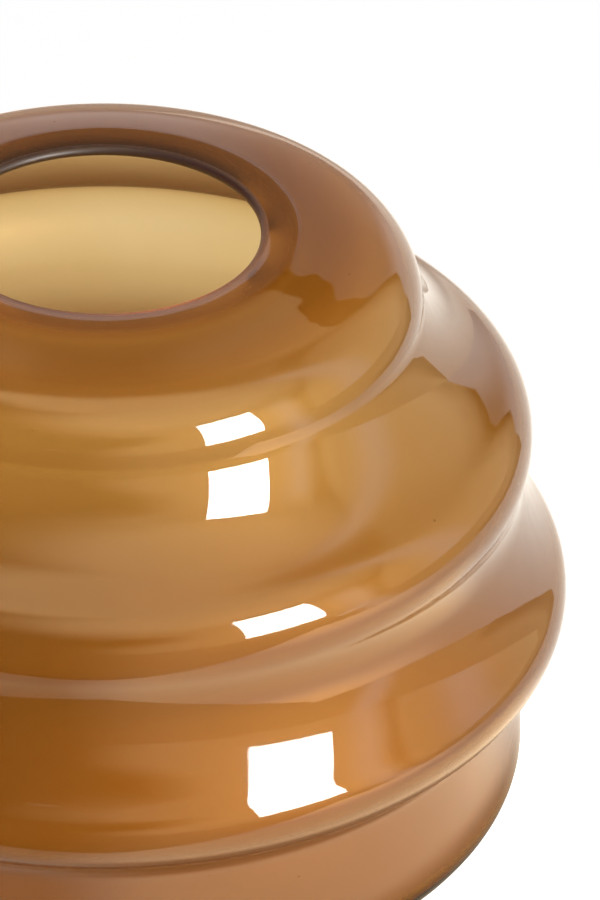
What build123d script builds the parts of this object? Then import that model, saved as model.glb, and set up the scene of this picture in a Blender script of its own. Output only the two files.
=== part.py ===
from build123d import *
import math
import os

# Gourd vase: a mould-blown tinted glass body with four stacked tiers and a level rim,
# standing on clear bumpers stuck under its foot. Millimetres, +Z up, origin on the table
# under the middle of the vase.

# Glass
wall = 2.5
base_thickness = 6.0  # heavy bottom, for ballast
base_kick = 2.0  # how far the middle of the bottom is pushed up
floor_radius = 4.0  # inside corner between the wall and the floor

# Bulges, numbered from the top. Tier 3 is the widest, and the others stand back from it. Tier 4
# is nearly straight, as the wall that carries the rest, and turns into the foot by a round heel.
widest_radius = 110.0
set_back_1 = 36.0
set_back_2 = 9.5
set_back_4 = 9.5
bulge_1 = 16.5  # radius of a tier's rounding
bulge_2 = 14.0
bulge_3 = 11.0
bulge_4 = 100.0

# Height from one tier's widest circle to the next
rise_1_2 = 34.7
rise_2_3 = 42.3
rise_3_4 = 42.5

# Hollows between the bulges: a tight crease under the upper tier, then a longer flank that
# sweeps out to the lower one. Each starts where the glass faces so far up, below zero for down.
# Their radii follow from the bulges on both sides.
crease_start_1_2 = 3.75  # degrees
flank_start_1_2 = 20.0  # degrees
flank_ratio_1_2 = 4.22  # flank radius over crease radius
crease_start_2_3 = -20.14  # degrees
flank_start_2_3 = 14.0  # degrees
flank_ratio_2_3 = 2.48
crease_start_3_4 = -62.0  # degrees
flank_start_3_4 = 0.0  # degrees
flank_ratio_3_4 = 17.0

# Crown: the flatter rounding from the shoulder of tier 1 to a nearly level rim round the mouth.
# Inside it the wall is a straight cone, so the glass is thicker there.
crown_start = 69.0  # degrees up that the shoulder faces where the crown takes over
crown_end = 85.0  # degrees up at the rim's outer edge
shoulder_width = 29.4  # from tier 1's widest circle in to the rim
rim_width = 8.5  # from the rim's outer edge in to the clear mouth
rim_fall = 0.4  # how far the rim falls towards the mouth

# Bumpers
bumper_diameter = 10.0
bumper_height = 1.6
bumper_edge = 1.0  # rounding of the edge that meets the table
bumper_margin = 2.75  # glass left on each side of a bumper on the foot's flat ring
bumper_names = ("bumper_front", "bumper_right", "bumper_back", "bumper_left")

# Heights and radii that follow from the sizes above
foot_z = bumper_height
heel_radius = base_thickness + floor_radius
tier_4_z = foot_z + heel_radius
tier_3_z = tier_4_z + rise_3_4
tier_2_z = tier_3_z + rise_2_3
tier_1_z = tier_2_z + rise_1_2
tier_1_radius = widest_radius - set_back_1
tier_2_radius = widest_radius - set_back_2
tier_3_radius = widest_radius
tier_4_radius = widest_radius - set_back_4
foot_outer = tier_4_radius - heel_radius
foot_inner = foot_outer - bumper_diameter - 2 * bumper_margin
bumper_ring = (foot_outer + foot_inner) / 2
rim_outer = tier_1_radius - shoulder_width
mouth_radius = rim_outer - rim_width


def slope(start, end):
    """Angle of the line from start to end, in degrees above the horizontal."""
    return math.degrees(math.atan2(end[1] - start[1], end[0] - start[0]))


def point_on(centre, radius, angle):
    """Point of a circle at an angle in degrees, in the half-plane of radius and height."""
    turn = math.radians(angle)
    return centre[0] + radius * math.cos(turn), centre[1] + radius * math.sin(turn)


def hollow(upper, upper_radius, lower, lower_radius, crease_start, flank_start, flank_ratio):
    """Crease radius and centre, then flank radius and centre, between two bulges.

    Both centres lie outside the glass. The crease touches the upper bulge where the glass faces
    crease_start and the flank where it faces flank_start, and the flank touches the lower bulge.
    The last of these gives a quadratic for the crease radius, with one positive root.
    """
    touch = point_on(upper, upper_radius, crease_start)
    from_lower = (touch[0] - lower[0], touch[1] - lower[1])
    crease_way = point_on((0, 0), 1, crease_start)
    way = point_on(crease_way, flank_ratio - 1, flank_start)  # from touch to flank centre, per crease radius
    square = flank_ratio**2 - way[0] ** 2 - way[1] ** 2
    half = flank_ratio * lower_radius - from_lower[0] * way[0] - from_lower[1] * way[1]
    rest = from_lower[0] ** 2 + from_lower[1] ** 2 - lower_radius**2
    crease = rest / (half + math.sqrt(half**2 + square * rest))
    crease_centre = point_on(touch, crease, crease_start)
    flank = flank_ratio * crease
    return crease, crease_centre, flank, point_on(crease_centre, flank - crease, flank_start)


# Centres of the bulges, and the hollows between them
bulge_radii = (bulge_1, bulge_2, bulge_3, bulge_4)
bulges = (
    (tier_1_radius - bulge_1, tier_1_z),
    (tier_2_radius - bulge_2, tier_2_z),
    (tier_3_radius - bulge_3, tier_3_z),
    (tier_4_radius - bulge_4, tier_4_z),
)
hollow_angles = (
    (crease_start_1_2, flank_start_1_2, flank_ratio_1_2),
    (crease_start_2_3, flank_start_2_3, flank_ratio_2_3),
    (crease_start_3_4, flank_start_3_4, flank_ratio_3_4),
)
hollows = [
    hollow(bulges[i], bulge_radii[i], bulges[i + 1], bulge_radii[i + 1], *hollow_angles[i])
    for i in range(3)
]

# The crown runs on from tier 1 without a kink, and its radius is the one that ends at the rim
shoulder = point_on(bulges[0], bulge_1, crown_start)
crown_cosines = math.cos(math.radians(crown_start)) - math.cos(math.radians(crown_end))
crown_radius = (shoulder[0] - rim_outer) / crown_cosines
crown = point_on(shoulder, -crown_radius, crown_start)
rim_z = point_on(crown, crown_radius, crown_end)[1]
lip = (mouth_radius + wall / 2, rim_z - rim_fall - wall / 2)
lip_underside = (lip[0], lip[1] - wall / 2)

# The cone under the crown touches the inside of tier 1, at the angle where the glass faces as the cone does
cone_reach = math.dist(lip_underside, bulges[0])
cone_turn = math.degrees(math.asin((bulge_1 - wall) / cone_reach))
cone_end = slope(lip_underside, bulges[0]) + cone_turn + 90


def wave(depth, enter):
    """Arcs of the wall from the shoulder down to tier 4's widest circle, at a depth into the glass.

    The first arc starts where tier 1 faces up by the angle enter. Every depth uses the same centres,
    so the wall is even and its arcs meet without a kink.
    """
    arcs = []
    for i in range(3):
        crease, crease_centre, flank, flank_centre = hollows[i]
        crease_start, flank_start, _ = hollow_angles[i]
        enter_next = slope(bulges[i + 1], flank_centre)
        arcs.append(CenterArc(bulges[i], bulge_radii[i] - depth, enter, crease_start - enter))
        # The hollows bend the other way: seen from their centres, the glass lies opposite
        arcs.append(CenterArc(crease_centre, crease + depth, crease_start + 180, flank_start - crease_start))
        arcs.append(CenterArc(flank_centre, flank + depth, flank_start + 180, enter_next - flank_start))
        enter = enter_next
    arcs.append(CenterArc(bulges[3], bulge_radii[3] - depth, enter, -enter))
    return arcs


def bottom(height, corner_radius, corner_x):
    """Rounded corner, flat ring and pushed-up middle of the bottom, at a height."""
    corner = (corner_x - corner_radius, height + corner_radius)
    ring_edge = (foot_inner, height)
    dish_radius = (foot_inner**2 + base_kick**2) / (2 * base_kick)
    dish = (0, height + base_kick - dish_radius)
    dish_start = slope(dish, ring_edge)
    return [
        CenterArc(corner, corner_radius, 0, -90),
        Line((corner[0], height), ring_edge),
        CenterArc(dish, dish_radius, dish_start, 90 - dish_start),
    ]


outside = wave(0, crown_start) + bottom(foot_z, heel_radius, tier_4_radius)
inside = wave(wall, cone_end) + bottom(foot_z + base_thickness, floor_radius, tier_4_radius - wall)
rim = [
    CenterArc(crown, crown_radius, crown_end, crown_start - crown_end),
    Line((rim_outer, rim_z), (lip[0], lip[1] + wall / 2)),
    CenterArc(lip, wall / 2, 90, 180),
    Line(lip_underside, point_on(bulges[0], bulge_1 - wall, cone_end)),
]
axis_line = Line((0, foot_z + base_kick), (0, foot_z + base_thickness + base_kick))

profile = make_face(outside + inside + rim + [axis_line])
glass_body = revolve(Plane.XZ * profile, Axis.Z)

# One bumper, its rounded edge on the table and its flat face against the glass
bumper = Cylinder(bumper_diameter / 2, bumper_height, align=(Align.CENTER, Align.CENTER, Align.MIN))
bumper = fillet(bumper.edges().group_by(Axis.Z)[0], bumper_edge)
bumpers = [place * bumper for place in PolarLocations(bumper_ring, len(bumper_names), start_angle=-90)]

os.makedirs("parts", exist_ok=True)
export_step(glass_body, "parts/glass_body.step")
for name, piece in zip(bumper_names, bumpers):
    export_step(piece, f"parts/{name}.step")
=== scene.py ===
# %% [markdown]
# # A gourd vase in amber glass
# The CAD part is the frame of this scene: one glass body and four clear bumpers. Everything here is in
# metres, with +Z up and the origin on the table under the middle of the vase. The lesson loads that frame,
# sets up the camera and the studio, models the glass again as a smooth dense mesh, gives it a tinted glass
# material, and does the same for the bumpers.

# %% Load the CAD frame
import math

import bpy
from mathutils import Matrix, Vector


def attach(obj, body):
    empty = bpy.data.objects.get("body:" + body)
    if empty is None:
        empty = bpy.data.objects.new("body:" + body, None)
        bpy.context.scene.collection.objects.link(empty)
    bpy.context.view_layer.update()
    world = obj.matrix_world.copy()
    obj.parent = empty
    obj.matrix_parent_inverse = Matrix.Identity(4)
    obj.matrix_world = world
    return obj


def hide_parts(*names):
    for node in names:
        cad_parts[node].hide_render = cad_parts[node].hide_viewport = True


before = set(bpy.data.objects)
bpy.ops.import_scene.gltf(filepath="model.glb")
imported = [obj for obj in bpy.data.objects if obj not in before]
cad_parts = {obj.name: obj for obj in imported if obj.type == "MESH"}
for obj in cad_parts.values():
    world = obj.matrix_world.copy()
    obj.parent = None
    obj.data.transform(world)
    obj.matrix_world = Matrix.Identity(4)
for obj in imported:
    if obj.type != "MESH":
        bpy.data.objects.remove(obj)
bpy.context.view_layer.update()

bpy.ops.object.select_all(action="DESELECT")

# %% [markdown]
# ## Camera
# The photograph looks down on the vase from a good metre and a half away through a long lens, so the bulges
# keep nearly the same scale from front to back. A camera can be placed by eye, but glass shows every error
# of angle in its reflections. The distance, height and angles below were solved from the outline instead.

# %% Camera at the photograph's place
CAMERA_PLACE = (0.0, -1.27905, 0.93086)
CAMERA_YAW = 2.06  # degrees to the right
CAMERA_PITCH = 33.33  # degrees down
CAMERA_ROLL = 1.01  # degrees
CAMERA_LENS = 260.0  # millimetres on a 36 mm sensor
CAMERA_NEAREST = 0.05  # what is closer than this isn't drawn
CAMERA_FURTHEST = 50.0  # nor what is further away

bpy.ops.object.camera_add()
camera = bpy.context.object
camera.name = "photo_camera"
camera.matrix_world = (
    Matrix.Translation(CAMERA_PLACE)
    @ Matrix.Rotation(math.radians(-CAMERA_YAW), 4, "Z")
    @ Matrix.Rotation(math.radians(90 - CAMERA_PITCH), 4, "X")
    @ Matrix.Rotation(math.radians(CAMERA_ROLL), 4, "Z")
)
camera.data.lens = CAMERA_LENS
camera.data.clip_start = CAMERA_NEAREST
camera.data.clip_end = CAMERA_FURTHEST
bpy.context.scene.camera = camera
bpy.context.scene.view_settings.view_transform = "Standard"
print("camera at", tuple(round(v, 3) for v in camera.location), "lens", camera.data.lens)

# %% [markdown]
# ## Helpers for nodes
# A material or a world is a small chain of nodes. By hand they are dragged and wired in the node editor.
# Here, short helpers add one node, fill a socket with a number or with another node's output, do a sum, and
# fade softly from one value to another. With them, each finish below reads as a list of steps.


# %% Node helpers
def add_node(tree, kind, **settings):
    """A new node of a kind, with its own settings."""
    node = tree.nodes.new(kind)
    for name, value in settings.items():
        setattr(node, name, value)
    return node


def feed(tree, socket, value):
    """Gives a socket a number, or links it to another node's output."""
    if isinstance(value, bpy.types.NodeSocket):
        tree.links.new(value, socket)
    else:
        socket.default_value = value


def calc(tree, operation, *values):
    """Output of a sum of one or two values."""
    node = add_node(tree, "ShaderNodeMath", operation=operation)
    for socket, value in zip(node.inputs, values):
        feed(tree, socket, value)
    return node.outputs[0]


def fade(tree, value, start, end, low=0.0, high=1.0):
    """Output that goes softly from low, where the value is at its start, to high, where it is at its end."""
    node = add_node(tree, "ShaderNodeMapRange", interpolation_type="SMOOTHSTEP")
    feed(tree, node.inputs["Value"], value)
    for name, number in (("From Min", start), ("From Max", end), ("To Min", low), ("To Max", high)):
        feed(tree, node.inputs[name], number)
    return node.outputs["Result"]


print("node helpers ready")


# %% Helpers that choose
def pick(tree, factor, without, with_it, kind="FLOAT"):
    """Output that is one number where the factor is 0, and another where it is 1."""
    node = add_node(tree, "ShaderNodeMix", data_type=kind)
    for name, value in (("Factor", factor), ("A", without), ("B", with_it)):
        feed(tree, node.inputs[name], value)
    return node.outputs["Result"]


def mix_colours(tree, factor, without, with_it):
    """Output that is one colour where the factor is 0, and another where it is 1."""
    return pick(tree, factor, without, with_it, kind="RGBA")


def mix_surfaces(tree, factor, without, with_it):
    """Output that is one surface where the factor is 0, and another where it is 1."""
    node = add_node(tree, "ShaderNodeMixShader")
    for socket, value in zip(node.inputs, (factor, without, with_it)):
        feed(tree, socket, value)
    return node.outputs[0]


def empty_material(name):
    """A new material whose node tree holds only its output."""
    material = bpy.data.materials.new(name)
    material.use_nodes = True
    material.node_tree.nodes.clear()
    output = add_node(material.node_tree, "ShaderNodeOutputMaterial")
    return material, material.node_tree, output


print("helpers that choose ready")

# %% [markdown]
# ## Table
# The vase stands on a white table top with paper on it. Glass is mostly seen by what lies behind and around
# it, so the table is part of the picture: it shows white through the glass, and its front and right edges
# show in the gloss of the bulges as the lines where the pale bands end. A table of its real size would leave
# other views without a floor, so one large plane is the floor for every view, and its material knows where
# the table ends.

# %% Table plane
TABLE_REACH = 30.0  # size of the plane

bpy.ops.mesh.primitive_plane_add(size=TABLE_REACH, location=(0, 0, 0))
table = bpy.context.object
table.name = "table_top"
print("table plane", table.dimensions.x, "m wide")

# %% [markdown]
# ## Table finish
# To the camera and through glass the table is white, with a faint shadow. Most of that white is a glow, so
# that the lamps can stay at a plain level. A mirrored ray sees it white only as far as the table reaches,
# and brighter at the corner next to the panel and close to the vase, where light comes through the glass.
# Beyond it, the floor is dark in front and pale on the right. A node for the kind of ray chooses.

# %% Where the table ends
TABLE_FRONT = -0.164  # where the table ends towards the viewer
FRONT_SLANT = 0.5  # how much further that edge lies for each metre to the right
TABLE_RIGHT = 0.443  # where it ends on the right
SWEEP_START = 0.346  # how far back the paper on it starts to rise
SWEEP_SPREAD = 0.966  # how much wider it looks from there on, for each metre back


def split_axes(tree, vector):
    """Outputs of the X, the Y and the Z of a place or a direction."""
    node = add_node(tree, "ShaderNodeSeparateXYZ")
    feed(tree, node.inputs[0], vector)
    return node.outputs["X"], node.outputs["Y"], node.outputs["Z"]


table_white, tree, output = empty_material("table_white")
spot = add_node(tree, "ShaderNodeNewGeometry").outputs["Position"]
x, y, _ = split_axes(tree, spot)
slant = calc(tree, "MULTIPLY", calc(tree, "MAXIMUM", x, 0.0), FRONT_SLANT)
front_edge = calc(tree, "SUBTRACT", TABLE_FRONT, slant)
spread = calc(tree, "MULTIPLY", calc(tree, "SUBTRACT", y, SWEEP_START), SWEEP_SPREAD)
right_edge = calc(tree, "ADD", calc(tree, "MAXIMUM", spread, 0.0), TABLE_RIGHT)
behind_front = calc(tree, "GREATER_THAN", y, front_edge)
on_table = calc(tree, "MULTIPLY", behind_front, calc(tree, "LESS_THAN", x, right_edge))
print("nodes for the edges of the table:", len(tree.nodes))

# %% Table seen directly or through glass
TABLE_PAINT = 0.14  # share of the white that a shadow can darken
TABLE_GLOW = 0.88  # share that it can't
GATHERED_AT = (0.06, 0.0, 0.0)  # middle of the light that the glass gathers under itself
GATHERED_REACH = (0.03, 0.09)
GATHERED = 0.8  # how much it adds
SHADE_AT = (-0.05, 0.09, 0.0)  # middle of the shade on the side away from the panel
SHADE_REACH = (0.02, 0.15)
SHADE = 0.25  # how much it takes away


def distance_from(tree, spot, middle):
    """Output of the distance between a spot and a middle."""
    node = add_node(tree, "ShaderNodeVectorMath", operation="DISTANCE")
    feed(tree, node.inputs[0], spot)
    feed(tree, node.inputs[1], middle)
    return node.outputs["Value"]


paint = add_node(tree, "ShaderNodeBsdfDiffuse")
paint.inputs["Color"].default_value = (TABLE_PAINT, TABLE_PAINT, TABLE_PAINT, 1)
gathered = fade(tree, distance_from(tree, spot, GATHERED_AT), *GATHERED_REACH, GATHERED, 0.0)
shade = fade(tree, distance_from(tree, spot, SHADE_AT), *SHADE_REACH, SHADE, 0.0)
glow = add_node(tree, "ShaderNodeEmission")
evened = calc(tree, "SUBTRACT", calc(tree, "ADD", gathered, TABLE_GLOW), shade)
feed(tree, glow.inputs["Strength"], evened)
lit = add_node(tree, "ShaderNodeAddShader")
feed(tree, lit.inputs[0], paint.outputs[0])
feed(tree, lit.inputs[1], glow.outputs[0])
print("white of the table in full light:", round(TABLE_PAINT + TABLE_GLOW, 2))

# %% Floor beyond the table, mirrored
FLOOR_DARK = 0.02  # what a reflection sees in front of the table
FLOOR_RIGHT = 1.5  # and what it sees to the right of it
FLOOR_TURN = (-12.0, 20.0)  # bearings between which one becomes the other
FLOOR_GAP = 0.45  # share that is left right beside the paper
FLOOR_GAP_WIDTH = 0.3
FLOOR_GAP_START = (0.04, 0.12)  # how far back the gap begins
STRIP = 66.0  # bearing of a light strip in the room
STRIP_WHITE = 2.6
FLOOR_STRIP = 0.8  # share of the strip that the floor shows
FLOOR_STRIP_HALF = 8.0  # its half width on the floor, in degrees
ROOM_HUE = (1.0, 0.74, 0.4, 1)  # warm tone of the room
WHITE = (1, 1, 1, 1)


def bearing_of(tree, x, y):
    """Output of the bearing of a place or a direction, in degrees to the right of the viewer."""
    towards = calc(tree, "MULTIPLY", y, -1.0)
    return calc(tree, "DEGREES", calc(tree, "ARCTAN2", x, towards))


def away_from(tree, value, middle):
    """Output of how far a value lies from a middle, to either side."""
    return calc(tree, "ABSOLUTE", calc(tree, "SUBTRACT", value, middle))


floor_bearing = bearing_of(tree, x, y)
floor_white = fade(tree, floor_bearing, *FLOOR_TURN, FLOOR_DARK, FLOOR_RIGHT)
past_edge = calc(tree, "SUBTRACT", x, right_edge)
beside_table = fade(tree, past_edge, 0.0, FLOOR_GAP_WIDTH, FLOOR_GAP, 1.0)
beside_table = pick(tree, fade(tree, y, *FLOOR_GAP_START), 1.0, beside_table)
floor_white = calc(tree, "MULTIPLY", floor_white, beside_table)
off_strip = away_from(tree, floor_bearing, STRIP)
floor_strip = fade(tree, off_strip, 0.0, FLOOR_STRIP_HALF, FLOOR_STRIP, 0.0)
floor_white = pick(tree, floor_strip, floor_white, STRIP_WHITE)
floor_hue = mix_colours(tree, floor_strip, ROOM_HUE, WHITE)
print("table material nodes with the floor:", len(tree.nodes))

# %% Table, mirrored
TABLE_HUE = (1.0, 0.94, 0.84, 1)  # tone of the table in a reflection
TABLE_SHINE = 1.45  # how white it looks there
BACK_SHINE = 0.6  # straight behind the vase
BACK_START = (0.3, 0.7)  # how far back that begins
BACK_SIDE = (0.35, 0.15)  # how far right it ends
NEAR_HUE = (1.0, 0.78, 0.52, 1)  # close to the vase, lit through its glass
NEAR_REACH = (0.18, 0.26)
NEAR_FRONT = (-0.03, 0.04)  # only in front of this
NEAR_SHINE = 3.0
LEFT_SHINE = 0.7  # the same, but on the left
LEFT_TURN = (-0.03, 0.03)
EDGE_SHINE = 0.5  # painted contact shade right under the edge of the vase
EDGE_REACH = (0.108, 0.128)

straight_back = calc(tree, "MULTIPLY", fade(tree, y, *BACK_START), fade(tree, x, *BACK_SIDE))
table_shine = pick(tree, straight_back, TABLE_SHINE, BACK_SHINE)
from_axis = distance_from(tree, spot, (0, 0, 0))
near = fade(tree, from_axis, *NEAR_REACH, 1.0, 0.0)
near = calc(tree, "MULTIPLY", near, fade(tree, y, *NEAR_FRONT, 1.0, 0.0))
lit_side = fade(tree, x, *LEFT_TURN)
# painted contact shade under the edge of the vase, rising to the near shine further out
under_edge = fade(tree, from_axis, *EDGE_REACH, EDGE_SHINE, NEAR_SHINE)
table_shine = pick(tree, near, table_shine, pick(tree, lit_side, LEFT_SHINE, under_edge))
table_hue = mix_colours(tree, calc(tree, "MULTIPLY", near, lit_side), TABLE_HUE, NEAR_HUE)
print("table material nodes with its shine:", len(tree.nodes))

# %% Corner of the table, and the choice by the kind of ray
CORNER_AT = (0.38, -0.38, 0.0)  # the front corner, close to the panel
CORNER_REACH = (0.1, 0.38)
CORNER_SHINE = 5.5
CORNER_HUE = (1.0, 0.68, 0.4, 1)


def kinds_of_ray(tree):
    """Outputs that are 1 for a mirrored ray, for one through glass and for one from a matt surface."""
    path = add_node(tree, "ShaderNodeLightPath")
    through = path.outputs["Is Transmission Ray"]
    not_through = calc(tree, "SUBTRACT", 1.0, through)
    mirror_ray = calc(tree, "MULTIPLY", path.outputs["Is Glossy Ray"], not_through)
    return mirror_ray, through, path.outputs["Is Diffuse Ray"]


lit_corner = fade(tree, distance_from(tree, spot, CORNER_AT), *CORNER_REACH, 1.0, 0.0)
table_shine = pick(tree, lit_corner, table_shine, CORNER_SHINE)
table_hue = mix_colours(tree, lit_corner, table_hue, CORNER_HUE)
shine = add_node(tree, "ShaderNodeEmission")
feed(tree, shine.inputs["Strength"], pick(tree, on_table, floor_white, table_shine))
feed(tree, shine.inputs["Color"], mix_colours(tree, on_table, floor_hue, table_hue))
mirror_ray, _, _ = kinds_of_ray(tree)
shown = mix_surfaces(tree, mirror_ray, lit.outputs[0], shine.outputs[0])
feed(tree, output.inputs["Surface"], shown)
table.data.materials.append(table_white)
print("table material nodes:", len(tree.nodes))

# %% [markdown]
# ## Studio light
# All four white patches on the front of the vase are one upright soft panel at the front right, mirrored
# once by each bulge and flank. Painted patches would stay put when the view moves, so one lamp of the right
# size and place gives them all.

# %% Panel light
PANEL_DISTANCE = 0.71  # from the vase's axis, level
PANEL_BEARING = 42.4  # degrees to the right of the viewer
PANEL_WIDTH = 0.253
PANEL_HEIGHT = 0.42
PANEL_MIDDLE = 0.35  # height of its middle over the table
PANEL_POWER = 11.0  # watts

bearing = math.radians(PANEL_BEARING)
bpy.ops.object.light_add(
    type="AREA",
    location=(PANEL_DISTANCE * math.sin(bearing), -PANEL_DISTANCE * math.cos(bearing), PANEL_MIDDLE),
    rotation=(math.radians(90), 0, bearing),
)
panel = bpy.context.object
panel.name = "soft_panel"
panel.data.shape = "RECTANGLE"
panel.data.size = PANEL_WIDTH
panel.data.size_y = PANEL_HEIGHT
panel.data.energy = PANEL_POWER
panel.visible_camera = False
panel.visible_transmission = False
print("panel at", tuple(round(v, 3) for v in panel.location))

# %% [markdown]
# ## Room
# The rest of the studio is painted into the world, because real screens would stand in the way of views from
# behind. A reflection sees a white paper sweep behind the vase, its sides leaning in and its top cut in
# slanting edges, and a dark band with ragged edges over it. Beside that lies the pale room, with a dim hoop
# and two light strips on the right, a dark side at the front left, a pale wall round the panel and a pale
# ceiling in front. The camera sees plain white. Light that goes through the glass sees white too, dimmer from
# the left and from above. Each part is a fade over the bearing or the height of a direction, in degrees.

# %% World and its directions
world = bpy.data.worlds.new("studio")
bpy.context.scene.world = world
world.use_nodes = True
tree = world.node_tree
tree.nodes.clear()
output = add_node(tree, "ShaderNodeOutputWorld")
direction = add_node(tree, "ShaderNodeTexCoord").outputs["Generated"]
x, y, z = split_axes(tree, direction)
bearing_out = bearing_of(tree, x, y)
height_out = calc(tree, "DEGREES", calc(tree, "ARCSINE", z))
from_back = calc(tree, "SUBTRACT", 180.0, calc(tree, "ABSOLUTE", bearing_out))
print("nodes for the directions:", len(tree.nodes))

# %% Edges of the paper and of the dark band
PAPER_SIDE = 44.7  # half width of the paper as seen from the vase, level
PAPER_LEAN = 0.61  # how much narrower it looks for each degree up
PAPER_STRAIGHT = 38.5  # half width that it keeps further up
# Edges of its top: height at the back, and how much higher for each degree to the side
PAPER_EDGES = ((27.5, 0.83), (33.0, 0.22), (58.4, -0.67))
BAND_EDGES = ((33.0, 0.5), (57.2, -0.33), (87.0, -1.0))  # the same for the dark band round its top
BAND_SIDE = (38.0, 44.0)  # where the band ends at the side
RAGGED = 1.5  # unevenness of these edges, in degrees
RAGGED_SCALE = 7.0
RAGGED_RANGE = (0.25, 0.75)  # of the noise that makes them uneven
CRISP = 0.4  # softness of an edge, in degrees to either side


def noise(tree, vector, scale, detail=2.0, distortion=0.0):
    """Output of a soft noise round 0.5."""
    node = add_node(tree, "ShaderNodeTexNoise")
    settings = (("Vector", vector), ("Scale", scale), ("Detail", detail), ("Distortion", distortion))
    for name, value in settings:
        feed(tree, node.inputs[name], value)
    return node.outputs["Fac"]


def past_edges(edges):
    """Output that says how far a direction lies above the lowest of some sloping edges, in degrees."""
    past = -90.0
    for top, slant in edges:
        edge_height = calc(tree, "ADD", calc(tree, "MULTIPLY", from_back, slant), top)
        past = calc(tree, "MAXIMUM", past, calc(tree, "SUBTRACT", uneven_height, edge_height))
    return past


uneven = fade(tree, noise(tree, direction, RAGGED_SCALE), *RAGGED_RANGE, -RAGGED, RAGGED)
uneven_height = calc(tree, "ADD", height_out, uneven)
lean = calc(tree, "ADD", from_back, calc(tree, "MULTIPLY", height_out, PAPER_LEAN))
past_lean = calc(tree, "SUBTRACT", lean, PAPER_SIDE)
past_side = calc(tree, "MINIMUM", past_lean, calc(tree, "SUBTRACT", from_back, PAPER_STRAIGHT))
past_paper = calc(tree, "MAXIMUM", past_side, past_edges(PAPER_EDGES))
on_paper = fade(tree, past_paper, CRISP, -CRISP)
in_band = fade(tree, past_edges(BAND_EDGES), CRISP, -CRISP)
in_band = calc(tree, "MULTIPLY", in_band, fade(tree, from_back, *BAND_SIDE, 1.0, 0.0))
print("world nodes with the edges:", len(tree.nodes))

# %% White of the paper, the band and the wall above
PAPER_LOW = 1.2  # white of the paper at the sides, near the table
PAPER_HIGH = 0.5  # and further up
PAPER_TURN = (6.0, 22.0)  # heights between which one becomes the other
MIDDLE_WHITE = 1.0  # white of the patch in the middle of the paper
MIDDLE_HEIGHT = 17.0
MIDDLE_REACH = (12.0, 17.0)  # how far up and down it goes
MIDDLE_HALF = (2.0, 9.0)  # and how far to the side
SIDE_START = (14.0, 28.0)  # where the sides of the paper begin
ROOM_DARK = 0.03
WALL_PALE = 0.55  # dim wall above the paper
WALL_SIDE = 1.32  # the same wall to the side
WALL_TURN = (5.0, 20.0)
BAND_TURN = (2.0, 8.0)  # the band is only dim at the very back, and dark from here on

paper_side = fade(tree, height_out, *PAPER_TURN, PAPER_LOW, PAPER_HIGH)
bright_up = fade(tree, away_from(tree, height_out, MIDDLE_HEIGHT), *MIDDLE_REACH, 1.0, 0.0)
bright_middle = calc(tree, "MULTIPLY", fade(tree, from_back, *MIDDLE_HALF, 1.0, 0.0), bright_up)
paper_middle = pick(tree, bright_middle, PAPER_HIGH, MIDDLE_WHITE)
paper_white = pick(tree, fade(tree, from_back, *SIDE_START), paper_middle, paper_side)
band_white = fade(tree, from_back, *BAND_TURN, WALL_PALE, ROOM_DARK)
high_wall = fade(tree, from_back, *WALL_TURN, WALL_PALE, WALL_SIDE)
print("world nodes with the paper:", len(tree.nodes))

# %% Pale room and its hoop
ROOM_PALE = 2.2  # what the gloss sees of the room
ROOM_UP = 0.5  # share of it that is left high up
ROOM_TURN = (20.0, 60.0)
DARK_EDGES = (3.0, 17.0)  # bearing where the dark side ends, low and higher up
DARK_TURN = (8.0, 20.0)
DARK_TOP = -7.0  # and further up still
DARK_TOP_TURN = (26.0, 34.0)
DARK_SOFT = 13.0  # softness of that edge to either side
GAP = 14.0  # width of the dimmer gap beside the paper
GAP_DIM = 0.45
HOOP_MIDDLE = (118.0, 8.0)  # bearing and height
HOOP_RADIUS = 47.5
HOOP_HALF = (1.5, 6.0)  # half width of its rim, with its soft edge
HOOP_DIM = 0.35


def reach_from(tree, middle, flatten=1.0):
    """Output of how far a direction lies from a middle, given by its bearing and height."""
    across = calc(tree, "MULTIPLY", calc(tree, "SUBTRACT", bearing_out, middle[0]), flatten)
    up = calc(tree, "SUBTRACT", height_out, middle[1])
    squares = [calc(tree, "MULTIPLY", value, value) for value in (across, up)]
    return calc(tree, "SQRT", calc(tree, "ADD", *squares))


edge = fade(tree, height_out, *DARK_TURN, *DARK_EDGES)
edge = pick(tree, fade(tree, height_out, *DARK_TOP_TURN), edge, DARK_TOP)
past_dark = calc(tree, "SUBTRACT", bearing_out, edge)
room = fade(tree, past_dark, -DARK_SOFT, DARK_SOFT, ROOM_DARK, ROOM_PALE)
off_hoop = away_from(tree, reach_from(tree, HOOP_MIDDLE), HOOP_RADIUS)
hoop = fade(tree, off_hoop, *HOOP_HALF, HOOP_DIM, 1.0)
gap = fade(tree, past_side, 0.0, GAP, GAP_DIM, 1.0)
for dimming in (fade(tree, height_out, *ROOM_TURN, 1.0, ROOM_UP), gap, hoop):
    room = calc(tree, "MULTIPLY", room, dimming)
print("world nodes with the room:", len(tree.nodes))

# %% Light strips
STRIP_HALF = 9.0  # half width of the strip that the floor shows too
STRIP_TOP = (22.0, 36.0)  # heights where it ends
SIDE_STRIP = 95.0  # bearing of a second strip
SIDE_WHITE = 2.4
SIDE_HALF = 13.0
SIDE_TOP = (50.0, 72.0)


def upright_strip(tree, bearing, half, top):
    """Output that is 1 in the middle of an upright strip of the room, and fades to its sides and top."""
    across = fade(tree, away_from(tree, bearing_out, bearing), 0.0, half, 1.0, 0.0)
    return calc(tree, "MULTIPLY", across, fade(tree, height_out, *top, 1.0, 0.0))


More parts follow.
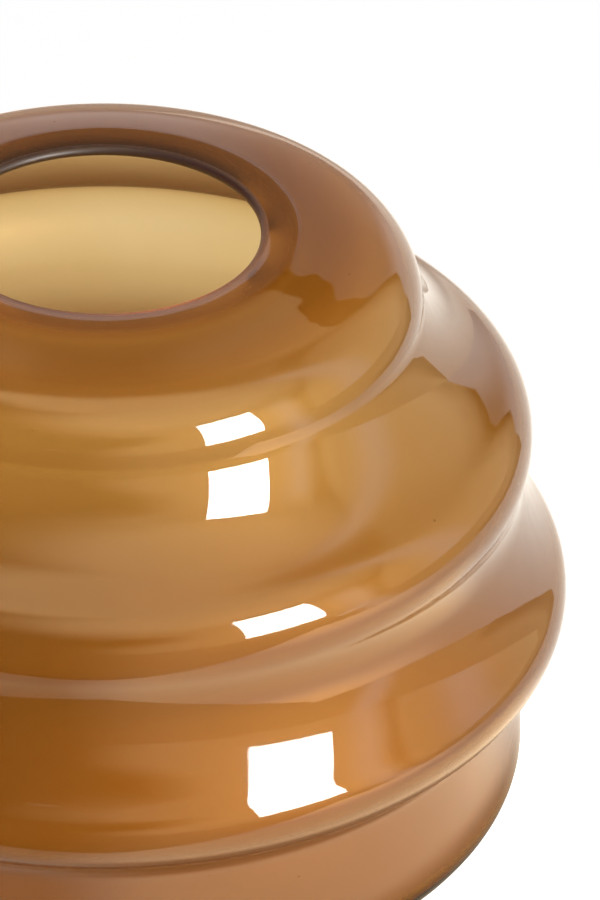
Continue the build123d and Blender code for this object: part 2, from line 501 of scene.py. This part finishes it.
strip = upright_strip(tree, STRIP, STRIP_HALF, STRIP_TOP)
room = pick(tree, strip, room, STRIP_WHITE)
side_strip = upright_strip(tree, SIDE_STRIP, SIDE_HALF, SIDE_TOP)
room = pick(tree, side_strip, room, SIDE_WHITE)
print("world nodes with the strips:", len(tree.nodes))

# %% Ceiling, wall round the panel and all that is mirrored
ROOM_SIDE = (36.0, 48.0)  # where the room begins beside the wall
CEILING_PALE = 3.4  # ceiling in front of the vase
CEILING_BACK = 0.385  # and behind it
CEILING_TURN = (-0.05, 0.15)  # how far back in a direction one becomes the other
CEILING_START = (55.0, 72.0)  # heights where it begins
HALO = 3.5  # pale wall round the panel
HALO_MIDDLE = (35.0, 56.0)  # bearing and height
HALO_REACH = (12.0, 38.0)
HALO_FLATTEN = 0.4  # how much less it counts to the side

around = pick(tree, fade(tree, from_back, *ROOM_SIDE), high_wall, room)
overhead = fade(tree, y, *CEILING_TURN, CEILING_PALE, CEILING_BACK)
around = pick(tree, fade(tree, height_out, *CEILING_START), around, overhead)
halo = fade(tree, reach_from(tree, HALO_MIDDLE, HALO_FLATTEN), *HALO_REACH, HALO, 0.0)
around = calc(tree, "MAXIMUM", around, halo)
around = pick(tree, in_band, around, band_white)
mirrored = pick(tree, on_paper, around, paper_white)
print("world nodes with all that is mirrored:", len(tree.nodes))

# %% World by the kind of ray
ROOM_LIGHT = 0.55  # light on the table from the room
THROUGH_LEFT = 0.35  # light that comes through the glass from the left
THROUGH_TOP = 0.45  # and from above
THROUGH_TURN = (-0.5, 0.6)  # from how far left to how far right in a direction it becomes full
THROUGH_UP = (0.0, 30.0)  # heights between which it is dimmed
STRIP_PALE = 0.6  # how far a strip loses the warm tone of the room

side_light = fade(tree, x, *THROUGH_TURN, THROUGH_LEFT, 1.0)
top_light = fade(tree, height_out, *THROUGH_UP, 1.0, THROUGH_TOP)
mirror_ray, through_ray, matt_ray = kinds_of_ray(tree)
seen = pick(tree, through_ray, 1.0, calc(tree, "MULTIPLY", side_light, top_light))
seen = pick(tree, mirror_ray, seen, mirrored)
background = add_node(tree, "ShaderNodeBackground")
feed(tree, background.inputs["Strength"], pick(tree, matt_ray, seen, ROOM_LIGHT))
pale_strips = calc(tree, "MULTIPLY", calc(tree, "MAXIMUM", strip, side_strip), STRIP_PALE)
white_part = calc(tree, "MAXIMUM", on_paper, pale_strips)
warm = calc(tree, "MULTIPLY", mirror_ray, calc(tree, "SUBTRACT", 1.0, white_part))
feed(tree, background.inputs["Color"], mix_colours(tree, warm, WHITE, ROOM_HUE))
feed(tree, output.inputs["Surface"], background.outputs[0])
print("world nodes:", len(tree.nodes))

# %% [markdown]
# ## Glass body: sizes
# The body is blown into a turned mould, so one outline spun about the axis gives all of it. The outline is a
# chain of arcs that run into each other without a kink: a bulge for each tier, and between two bulges a tight
# crease followed by a longer flank. The sizes are those of the CAD part, and the inner wall uses the same
# centres, one wall thickness further in.

# %% Sizes of the glass
MM = 0.001
WALL = 2.5 * MM
BASE_THICKNESS = 6.0 * MM
BASE_KICK = 2.0 * MM  # how far the middle of the bottom is pushed up
FLOOR_RADIUS = 4.0 * MM  # inside corner between the wall and the floor
BUMPER_HEIGHT = 1.6 * MM
BUMPER_RADIUS = 5.0 * MM
BUMPER_MARGIN = 2.75 * MM  # glass left on each side of a bumper
TIER_RADII = (74.0 * MM, 100.5 * MM, 110.0 * MM, 100.5 * MM)  # from the top
BULGE_RADII = (16.5 * MM, 14.0 * MM, 11.0 * MM, 100.0 * MM)
RISES = (34.7 * MM, 42.3 * MM, 42.5 * MM)  # height from one tier to the next

FOOT_Z = BUMPER_HEIGHT
HEEL_RADIUS = BASE_THICKNESS + FLOOR_RADIUS
tier_heights = [FOOT_Z + HEEL_RADIUS]
for rise in reversed(RISES):
    tier_heights.insert(0, tier_heights[0] + rise)
FOOT_OUTER = TIER_RADII[3] - HEEL_RADIUS
FOOT_INNER = FOOT_OUTER - 2 * BUMPER_RADIUS - 2 * BUMPER_MARGIN
bulge_centres = [(TIER_RADII[i] - BULGE_RADII[i], tier_heights[i]) for i in range(4)]
print("tier heights in mm:", [round(z / MM, 1) for z in tier_heights])

# %% Crown, lip and cone
CROWN_START = 69.0  # degrees up that the shoulder faces where the crown begins
CROWN_END = 85.0  # degrees up where the crown meets the rim
RIM_OUTER = 44.6 * MM
RIM_FALL = 0.4 * MM  # how far the rim falls towards the mouth
MOUTH_RADIUS = 36.1 * MM


def point_on(centre, radius, angle):
    """Point of a circle at an angle in degrees, as radius from the axis and height."""
    turn = math.radians(angle)
    return centre[0] + radius * math.cos(turn), centre[1] + radius * math.sin(turn)


def slope(start, end):
    """Angle of the line from start to end, in degrees."""
    return math.degrees(math.atan2(end[1] - start[1], end[0] - start[0]))


shoulder = point_on(bulge_centres[0], BULGE_RADII[0], CROWN_START)
crown_cosines = math.cos(math.radians(CROWN_START)) - math.cos(math.radians(CROWN_END))
CROWN_RADIUS = (shoulder[0] - RIM_OUTER) / crown_cosines
crown_centre = point_on(shoulder, -CROWN_RADIUS, CROWN_START)
RIM_Z = point_on(crown_centre, CROWN_RADIUS, CROWN_END)[1]
lip_centre = (MOUTH_RADIUS + WALL / 2, RIM_Z - RIM_FALL - WALL / 2)

# Inside the crown, a straight cone runs from the lip's underside until it touches the inside of tier 1
lip_underside = (lip_centre[0], lip_centre[1] - WALL / 2)
cone_reach = math.dist(lip_underside, bulge_centres[0])
cone_turn = math.degrees(math.asin((BULGE_RADII[0] - WALL) / cone_reach))
CONE_END = slope(lip_underside, bulge_centres[0]) + cone_turn + 90
cone_foot = point_on(bulge_centres[0], BULGE_RADII[0] - WALL, CONE_END)
print("crown radius and rim height in mm:", round(CROWN_RADIUS / MM, 2), round(RIM_Z / MM, 2))

# %% Wave of the wall
# For each hollow: the degrees up that the glass faces where its crease starts and where its flank starts, and
# the flank's radius over the crease's
HOLLOWS = ((3.75, 20.0, 4.22), (-20.14, 14.0, 2.48), (-62.0, 0.0, 17.0))


def hollow_arcs(upper, upper_radius, lower, lower_radius, crease_start, flank_start, ratio):
    """Centres and radii of the crease and the flank that join two bulges smoothly."""
    touch = point_on(upper, upper_radius, crease_start)
    across = (touch[0] - lower[0], touch[1] - lower[1])
    way = point_on(point_on((0, 0), 1, crease_start), ratio - 1, flank_start)
    square = ratio**2 - way[0] ** 2 - way[1] ** 2
    half = ratio * lower_radius - across[0] * way[0] - across[1] * way[1]
    rest = across[0] ** 2 + across[1] ** 2 - lower_radius**2
    crease = rest / (half + math.sqrt(half**2 + square * rest))
    crease_centre = point_on(touch, crease, crease_start)
    flank = ratio * crease
    return crease_centre, crease, point_on(crease_centre, flank - crease, flank_start), flank


# From the shoulder down to tier 4: centre of each arc, the angle it covers, and its radius on the outside
wave_arcs = []
enter = CROWN_START
for i, (crease_start, flank_start, ratio) in enumerate(HOLLOWS):
    upper = (bulge_centres[i], BULGE_RADII[i])
    lower = (bulge_centres[i + 1], BULGE_RADII[i + 1])
    crease_centre, crease, flank_centre, flank = hollow_arcs(
        *upper, *lower, crease_start, flank_start, ratio
    )
    enter_next = slope(bulge_centres[i + 1], flank_centre)
    wave_arcs.append((bulge_centres[i], crease_start - enter, BULGE_RADII[i]))
    wave_arcs.append((crease_centre, flank_start - crease_start, crease))
    wave_arcs.append((flank_centre, enter_next - flank_start, flank))
    enter = enter_next
wave_arcs.append((bulge_centres[3], -enter, BULGE_RADII[3]))
print("arcs in the wave:", len(wave_arcs))

# %% [markdown]
# ## Glass body: outline
# The outline starts as one vertex on the axis under the bottom. Spinning that vertex about the centre of an
# arc draws the arc, and extruding it draws a straight run, so the outline grows from the bottom up the
# outside, over the lip and down the inside, the way a template for a mould is drawn with compasses.

# %% Start of the outline
ARC_STEP = 1.7 * MM  # length of one edge along the outline
LEAST_STEPS = 12


def trace_arc(centre, sweep, radius):
    """Carries the end of the outline round a centre by an angle in degrees. The radius sets the steps."""
    steps = max(LEAST_STEPS, math.ceil(abs(math.radians(sweep)) * radius / ARC_STEP))
    bpy.ops.mesh.spin(
        steps=steps,
        angle=math.radians(sweep),
        center=(centre[0], 0, centre[1]),
        axis=(0, 1, 0),
    )


def trace_line(run, rise=0.0):
    """Carries the end of the outline straight along by a run in radius and a rise."""
    bpy.ops.mesh.extrude_region_move(TRANSFORM_OT_translate={"value": (run, 0, rise)})


bpy.ops.mesh.primitive_plane_add(size=MM, location=(0, 0, 0))
glass = bpy.context.object
glass.name = "blown_glass"
bpy.ops.object.mode_set(mode="EDIT")
bpy.ops.mesh.select_all(action="SELECT")
bpy.ops.mesh.merge(type="CENTER")
bpy.ops.transform.translate(value=(0, 0, FOOT_Z + BASE_KICK))
bpy.ops.object.mode_set(mode="OBJECT")
print("outline starts at mm", [round(v / MM, 3) for v in glass.data.vertices[0].co])

# %% Outside of the outline
DISH_COARSE = 3  # the pushed-up middle is nearly flat, so its steps are longer
LIP_FINE = 4  # and those of the small lip are shorter

dish_radius = (FOOT_INNER**2 + BASE_KICK**2) / (2 * BASE_KICK)
dish_sweep = math.degrees(math.asin(FOOT_INNER / dish_radius))
bpy.ops.object.mode_set(mode="EDIT")
trace_arc((0, FOOT_Z + BASE_KICK - dish_radius), -dish_sweep, dish_radius / DISH_COARSE)
trace_line(FOOT_OUTER - FOOT_INNER)
trace_arc((FOOT_OUTER, FOOT_Z + HEEL_RADIUS), 90, HEEL_RADIUS)
for centre, sweep, radius in reversed(wave_arcs):
    trace_arc(centre, -sweep, radius)
trace_arc(crown_centre, CROWN_END - CROWN_START, CROWN_RADIUS)
trace_line(lip_centre[0] - RIM_OUTER, -RIM_FALL)
trace_arc(lip_centre, 180, WALL / 2 * LIP_FINE)
bpy.ops.object.mode_set(mode="OBJECT")
outer_points = len(glass.data.vertices)
print("points on the outside and the lip:", outer_points)

# %% Inside of the outline
CORNER_FINE = 2  # shorter steps in the corner of the floor

inner_corner = (TIER_RADII[3] - WALL - FLOOR_RADIUS, FOOT_Z + BASE_THICKNESS + FLOOR_RADIUS)
inner_dish = (0, FOOT_Z + BASE_THICKNESS + BASE_KICK - dish_radius)
bpy.ops.object.mode_set(mode="EDIT")
trace_line(cone_foot[0] - lip_underside[0], cone_foot[1] - lip_underside[1])
trace_arc(bulge_centres[0], CROWN_START - CONE_END, BULGE_RADII[0])
for centre, sweep, radius in wave_arcs:
    trace_arc(centre, sweep, radius)
trace_arc(inner_corner, -90, FLOOR_RADIUS * CORNER_FINE)
trace_line(FOOT_INNER - inner_corner[0])
trace_arc(inner_dish, dish_sweep, dish_radius / DISH_COARSE)
bpy.ops.object.mode_set(mode="OBJECT")
end_point = [v.co for v in glass.data.vertices if v.select][0]
print("outline points:", len(glass.data.vertices), "ends at mm", [round(v / MM, 3) for v in end_point])

# %% Mark the inner wall
inner_wall = glass.data.attributes.new("inner_wall", "FLOAT", "POINT")
for index, mark in enumerate(inner_wall.data):
    mark.value = 1.0 if index >= outer_points else 0.0
print("points on the inner wall:", len(glass.data.vertices) - outer_points)

# %% Spin the outline into the body
TURN_STEPS = 240
MERGE_BELOW = 0.02 * MM

bpy.ops.object.mode_set(mode="EDIT")
bpy.ops.mesh.select_all(action="SELECT")
bpy.ops.mesh.spin(steps=TURN_STEPS, angle=math.tau, center=(0, 0, 0), axis=(0, 0, 1))
bpy.ops.mesh.select_all(action="SELECT")
bpy.ops.mesh.remove_doubles(threshold=MERGE_BELOW)
bpy.ops.mesh.normals_make_consistent(inside=False)
bpy.ops.object.mode_set(mode="OBJECT")
bpy.ops.object.shade_smooth()
glass.data.calc_loop_triangles()
glass_size = [round(v / MM, 2) for v in glass.dimensions]
print("glass triangles:", len(glass.data.loop_triangles), "size mm", glass_size)

# %% [markdown]
# ## Glass finish
# The glass is amber through and through, so its colour comes from absorption inside the solid: thin walls
# look pale and thick edges deep brown by themselves. The outside is fire-polished and glossy. The inside of
# such a vase is softly matt, which blurs the view through it, so the roughness follows the mark on the inner
# wall. Fine streaks in the melt, handling scratches and specks come from noise. Light from the lamps passes
# as through a clear pane, since traced light would leave bright specks.

# %% Tinted glass
GLASS_TINT = (0.805, 0.588, 0.09, 1)
GLASS_DENSITY = 600.0
GLASS_BENDS = 1.5  # index of refraction

amber_glass, tree, output = empty_material("amber_glass")
body = add_node(tree, "ShaderNodeBsdfPrincipled")
body.inputs["IOR"].default_value = GLASS_BENDS
body.inputs["Transmission Weight"].default_value = 1.0
tint = add_node(tree, "ShaderNodeVolumeAbsorption")
tint.inputs["Color"].default_value = GLASS_TINT
tint.inputs["Density"].default_value = GLASS_DENSITY
feed(tree, output.inputs["Volume"], tint.outputs[0])
print("tint of the glass:", GLASS_TINT[:3], "density", GLASS_DENSITY)

# %% Streaks, clouds and the deeper rim
STREAK_TINT = (0.97, 0.945, 0.89, 1)  # deeper streaks in the melt
STREAK_SCALE = (18, 18, 12)
STREAK_RANGE = (0.4, 0.72)
STREAK_DETAIL = 3.0
STREAK_CURL = 0.6
CLOUD_TINT = (0.98, 0.96, 0.9, 1)
CLOUD_SCALE = 26.0
CLOUD_RANGE = (0.42, 0.65)
RIM_TINT = (0.6, 0.43, 0.36, 1)  # darker tint on the rim's top and lip, added to what the glass's thickness gives
RIM_EDGE = (RIM_OUTER + 2.0 * MM, RIM_OUTER - 1.0 * MM)
RIM_BOTTOM = (146.0 * MM, 147.5 * MM)


def stretch(tree, vector, scale):
    """Output of a place, with each axis scaled by itself."""
    node = add_node(tree, "ShaderNodeMapping")
    node.inputs["Scale"].default_value = scale
    feed(tree, node.inputs["Vector"], vector)
    return node.outputs[0]


spot = add_node(tree, "ShaderNodeTexCoord").outputs["Object"]
x, y, z = split_axes(tree, spot)
squares = [calc(tree, "MULTIPLY", value, value) for value in (x, y)]
out = calc(tree, "SQRT", calc(tree, "ADD", *squares))
cords = noise(tree, stretch(tree, spot, STREAK_SCALE), 1.0, STREAK_DETAIL, STREAK_CURL)
streaked = mix_colours(tree, fade(tree, cords, *STREAK_RANGE), WHITE, STREAK_TINT)
clouds = noise(tree, spot, CLOUD_SCALE)
cloudy = mix_colours(tree, fade(tree, clouds, *CLOUD_RANGE), streaked, CLOUD_TINT)
# the top of the rim and the lip get the darker tint
on_rim = calc(tree, "MULTIPLY", fade(tree, out, *RIM_EDGE), fade(tree, z, *RIM_BOTTOM))
feed(tree, body.inputs["Base Color"], mix_colours(tree, on_rim, cloudy, RIM_TINT))
print("glass nodes with the colour:", len(tree.nodes))

# %% Marks of use on the outside
GLOSS = 0.02  # roughness of the outside
SMUDGED = 0.06  # where hands have touched it
SMUDGE_RANGE = (0.5, 0.75)
MARKED = 0.35  # in fine scratches and specks
SCRATCH_SCALE = (45, 45, 1500)  # long and level, as from wiping round
SCRATCH_RANGE = (0.74, 0.8)
SPECK_SCALE = 85.0
SPECK_SIZE = (0.032, 0.016)

smudges = fade(tree, clouds, *SMUDGE_RANGE, GLOSS, SMUDGED)
scratches = fade(tree, noise(tree, stretch(tree, spot, SCRATCH_SCALE), 1.0, 1.0), *SCRATCH_RANGE)
dust = add_node(tree, "ShaderNodeTexVoronoi")
dust.inputs["Scale"].default_value = SPECK_SCALE
feed(tree, dust.inputs["Vector"], spot)
specks = fade(tree, dust.outputs["Distance"], *SPECK_SIZE)
outer = pick(tree, calc(tree, "MAXIMUM", scratches, specks), smudges, MARKED)
print("glass nodes with the marks:", len(tree.nodes))

# %% Ground foot, satin lip and matt inside
GROUND = 0.55  # roughness on the ground ring of the foot
GROUND_TOP = (FOOT_Z + 0.5 * MM, FOOT_Z + 0.1 * MM)
LIP_SATIN = 0.45  # on the edge of the lip
LIP_EDGE = (MOUTH_RADIUS + 2.2 * MM, MOUTH_RADIUS + 1.2 * MM)
LIP_BOTTOM = (145.0 * MM, 146.5 * MM)
MATT = 0.5  # on the inside
CROWN_MATT = 1.0  # and on the underside of the crown
CROWN_BOTTOM = (138.0 * MM, 144.0 * MM)

outer = pick(tree, fade(tree, z, *GROUND_TOP), outer, GROUND)
on_lip = calc(tree, "MULTIPLY", fade(tree, out, *LIP_EDGE), fade(tree, z, *LIP_BOTTOM))
outer = pick(tree, on_lip, outer, LIP_SATIN)
inner_matt = fade(tree, z, *CROWN_BOTTOM, MATT, CROWN_MATT)
inside = add_node(tree, "ShaderNodeAttribute", attribute_name="inner_wall")
feed(tree, body.inputs["Roughness"], pick(tree, inside.outputs["Fac"], outer, inner_matt))
print("glass nodes with the roughness:", len(tree.nodes))

# %% Unevenness, and the glass put together
WAVE_DEPTH = 0.05 * MM  # slight unevenness of the blown surface
WAVE_SCALE = 70.0
SPECK_RISE = 1.6  # height of a speck against the unevenness
PASSED = (0.93, 0.93, 0.93, 1)  # light of the lamps that the glass lets through


def bumps(tree, height, depth, strength):
    """Output of a surface made uneven by a height."""
    node = add_node(tree, "ShaderNodeBump")
    for name, value in (("Strength", strength), ("Distance", depth), ("Height", height)):
        feed(tree, node.inputs[name], value)
    return node.outputs["Normal"]


waves = noise(tree, spot, WAVE_SCALE, 1.0)
uneven = calc(tree, "ADD", waves, calc(tree, "MULTIPLY", specks, SPECK_RISE))
feed(tree, body.inputs["Normal"], bumps(tree, uneven, WAVE_DEPTH, 1.0))
passing = add_node(tree, "ShaderNodeBsdfTransparent")
passing.inputs["Color"].default_value = PASSED
shadow_ray = add_node(tree, "ShaderNodeLightPath").outputs["Is Shadow Ray"]
surface = mix_surfaces(tree, shadow_ray, body.outputs[0], passing.outputs[0])
feed(tree, output.inputs["Surface"], surface)
glass.data.materials.append(amber_glass)
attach(glass, "root")
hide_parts("glass_body")
print("glass material nodes:", len(tree.nodes))

# %% [markdown]
# ## Bumpers
# Four clear bumpers keep the glass off the table. On the real thing they are discs cut from a cast sheet of
# soft polyurethane with glue on one side, and their edge towards the table is rounded. One is modelled from
# a disc whose lower edge is bevelled and whose lower face is inset and dished a little, as cast ones shrink.
# It is then copied round the foot, a quarter turn at a time.

# %% Bumper
BUMPER_SIDES = 64
BUMPER_LOW = 0.05 * MM  # how much lower it is than the CAD's, so that it doesn't flicker against the glass
BUMPER_EDGE = 1.0 * MM  # rounding towards the table
BUMPER_TOP_EDGE = 0.15 * MM
BUMPER_DISH = 0.05 * MM
DISH_STEP = 1.5 * MM  # width of each of its two steps
BUMPER_RING = (FOOT_OUTER + FOOT_INNER) / 2  # radius of the ring that they stand on
CREASE_ABOVE = 40  # degrees between two faces that still look like an edge


def choose_faces(piece, looks_up):
    """In edit mode, leave only the flat top face or only the flat bottom face of a piece selected."""
    bpy.ops.object.mode_set(mode="OBJECT")
    for face in piece.data.polygons:
        face.select = len(face.vertices) > 4 and (face.normal.z > 0) == looks_up
    for edge in piece.data.edges:
        edge.select = False
    for corner in piece.data.vertices:
        corner.select = False
    bpy.ops.object.mode_set(mode="EDIT")


disc_height = BUMPER_HEIGHT - BUMPER_LOW
bpy.ops.object.select_all(action="DESELECT")
bpy.ops.mesh.primitive_cylinder_add(vertices=BUMPER_SIDES, radius=BUMPER_RADIUS, depth=disc_height)
bumper = bpy.context.object
bpy.context.tool_settings.mesh_select_mode = (False, False, True)
choose_faces(bumper, looks_up=False)
bpy.ops.mesh.bevel(offset=BUMPER_EDGE, segments=8, affect="EDGES")
choose_faces(bumper, looks_up=False)
bpy.ops.mesh.inset(thickness=DISH_STEP, depth=-BUMPER_DISH)
bpy.ops.mesh.inset(thickness=DISH_STEP, depth=-BUMPER_DISH / 2)
choose_faces(bumper, looks_up=True)
bpy.ops.mesh.bevel(offset=BUMPER_TOP_EDGE, segments=3, affect="EDGES")
bpy.ops.object.mode_set(mode="OBJECT")
bpy.ops.transform.translate(value=(0, -BUMPER_RING, disc_height / 2))
bpy.ops.object.transform_apply(location=True, rotation=True, scale=True)
bpy.ops.object.shade_smooth_by_angle(angle=math.radians(CREASE_ABOVE))
print("bumper triangles:", sum(len(face.vertices) - 2 for face in bumper.data.polygons))

# %% [markdown]
# ## Bumper finish
# Soft clear polyurethane looks milky and satin, a little uneven from the casting, and lets some light
# through. It could be made as glass with fog in it, but on so thin a disc a milky surface looks the same and
# is quicker. The colour and the gloss follow a fine noise, and a finer one roughens the surface.

# %% Bumper material
BUMPER_BENDS = 1.48  # index of refraction
BUMPER_CLEAR = 0.45  # share of the light that goes through
BUMPER_SOFT = 0.25  # share that spreads inside
BUMPER_SPREAD = 1.0 * MM
MILKY_LIGHT = (0.86, 0.87, 0.85, 1)
MILKY_DARK = (0.76, 0.78, 0.77, 1)
CASTING_SCALE = 420.0
CASTING_DETAIL = 3.0
CASTING_RANGE = (0.3, 0.7)
SATIN = (0.28, 0.46)  # roughness, from smooth to rough spots
GRAIN_SCALE = 2600.0
GRAIN_DEPTH = 0.02 * MM
GRAIN_STRENGTH = 0.4

clear_bumper, tree, output = empty_material("clear_bumper")
body = add_node(tree, "ShaderNodeBsdfPrincipled")
body.inputs["IOR"].default_value = BUMPER_BENDS
body.inputs["Transmission Weight"].default_value = BUMPER_CLEAR
body.inputs["Subsurface Weight"].default_value = BUMPER_SOFT
body.inputs["Subsurface Radius"].default_value = (1.0, 1.0, 1.0)
body.inputs["Subsurface Scale"].default_value = BUMPER_SPREAD
spot = add_node(tree, "ShaderNodeTexCoord").outputs["Object"]
casting = noise(tree, spot, CASTING_SCALE, CASTING_DETAIL)
feed(tree, body.inputs["Base Color"], mix_colours(tree, casting, MILKY_LIGHT, MILKY_DARK))
feed(tree, body.inputs["Roughness"], fade(tree, casting, *CASTING_RANGE, *SATIN))
grain = noise(tree, spot, GRAIN_SCALE)
feed(tree, body.inputs["Normal"], bumps(tree, grain, GRAIN_DEPTH, GRAIN_STRENGTH))
feed(tree, output.inputs["Surface"], body.outputs[0])
bumper.data.materials.append(clear_bumper)
print("bumper material nodes:", len(tree.nodes))

# %% Bumpers round the foot
QUARTER = math.radians(90)
BUMPER_ORDER = ("bumper_front", "bumper_left", "bumper_back", "bumper_right")

looks = [bumper]
while len(looks) < len(BUMPER_ORDER):
    bpy.ops.object.duplicate(linked=False)
    bpy.ops.transform.rotate(value=QUARTER, orient_axis="Z", center_override=(0, 0, 0))
    bpy.ops.object.transform_apply(location=True, rotation=True, scale=True)
    looks.append(bpy.context.object)
for node, piece in zip(BUMPER_ORDER, looks):
    piece.name = node + "_look"
    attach(piece, "root")
    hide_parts(node)
    middle = sum((corner.co for corner in piece.data.vertices), Vector()) / len(piece.data.vertices)
    print(node, "at mm", [round(value / MM, 1) for value in middle])
